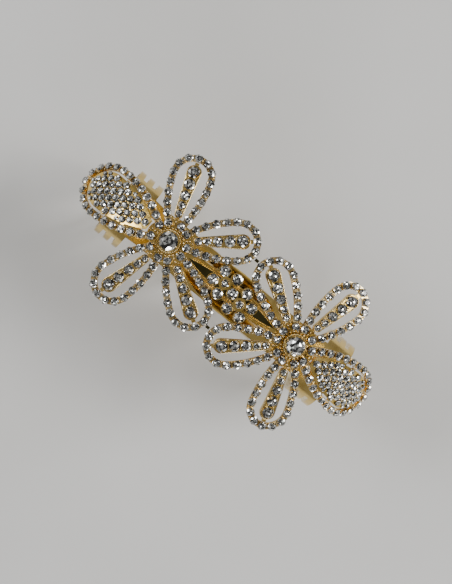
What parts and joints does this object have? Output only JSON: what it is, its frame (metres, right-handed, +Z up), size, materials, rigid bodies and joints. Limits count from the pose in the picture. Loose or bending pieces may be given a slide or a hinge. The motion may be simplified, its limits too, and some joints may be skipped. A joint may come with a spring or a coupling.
{
  "type": "hair clip",
  "caption": "Metal claw hair clip topped with two jewelled five-petal flowers and a middle cluster; a sprung rear jaw swings open about a pin.",
  "frame": {"origin": "centre of the bounding box's underside: midway along and across the clip, at the level of the closed claws' tips", "axes": "+X along the clip and its hinge pin, +Z up through the jewelled top, +Y toward the moving jaw"},
  "size_m": [0.1082, 0.0524, 0.048],
  "materials": {
    "gold": "polished gold plate",
    "jaw_gold": "polished gold plate on stamped sheet",
    "spring_steel": "dark blued steel",
    "crystal": "clear foil-backed faceted crystal"
  },
  "bodies": {
    "front_jaw_and_ornament": {"front_jaw": "jaw_gold", "left_bracket": "gold", "right_bracket": "gold", "hinge_pin": "spring_steel", "spring_coil": "spring_steel", "spine_frame": "gold", "slit_plate": "gold", "cluster_cups": "gold", "cluster_stones": "crystal", "link_bar_1": "gold", "link_bar_2": "gold", "left_hub_plate": "gold", "left_centre_bezel": "gold", "left_centre_stone": "crystal", "left_paved_plate": "gold", "left_paving_stones": "crystal", "left_petal_1_frame": "gold", "left_petal_1_stones": "crystal", "left_petal_2_frame": "gold", "left_petal_2_stones": "crystal", "left_petal_2_drop": "gold", "left_petal_2_drop_stones": "crystal", "left_petal_3_frame": "gold", "left_petal_3_stones": "crystal", "left_petal_3_drop": "gold", "left_petal_3_drop_stones": "crystal", "left_petal_4_frame": "gold", "left_petal_4_stones": "crystal", "left_petal_4_drop": "gold", "left_petal_4_drop_stones": "crystal", "left_petal_5_frame": "gold", "left_petal_5_stones": "crystal", "left_petal_5_drop": "gold", "left_petal_5_drop_stones": "crystal", "right_hub_plate": "gold", "right_centre_bezel": "gold", "right_centre_stone": "crystal", "right_paved_plate": "gold", "right_paving_stones": "crystal", "right_petal_1_frame": "gold", "right_petal_1_stones": "crystal", "right_petal_2_frame": "gold", "right_petal_2_stones": "crystal", "right_petal_2_drop": "gold", "right_petal_2_drop_stones": "crystal", "right_petal_3_frame": "gold", "right_petal_3_stones": "crystal", "right_petal_3_drop": "gold", "right_petal_3_drop_stones": "crystal", "right_petal_4_frame": "gold", "right_petal_4_stones": "crystal", "right_petal_4_drop": "gold", "right_petal_4_drop_stones": "crystal", "right_petal_5_frame": "gold", "right_petal_5_stones": "crystal", "right_petal_5_drop": "gold", "right_petal_5_drop_stones": "crystal"},
    "rear_jaw": {"rear_jaw": "jaw_gold", "spring_leg": "spring_steel"}
  },
  "joints": [
    {"name": "rear_jaw_hinge", "type": "hinge", "parent": "front_jaw_and_ornament", "child": "rear_jaw", "pos_m": [0, 0, 0.033], "axis": [1, 0, 0], "range_deg": [0, 32], "stiffness_Nm_per_rad": 0.08, "springref_deg": -40.11}
  ]
}
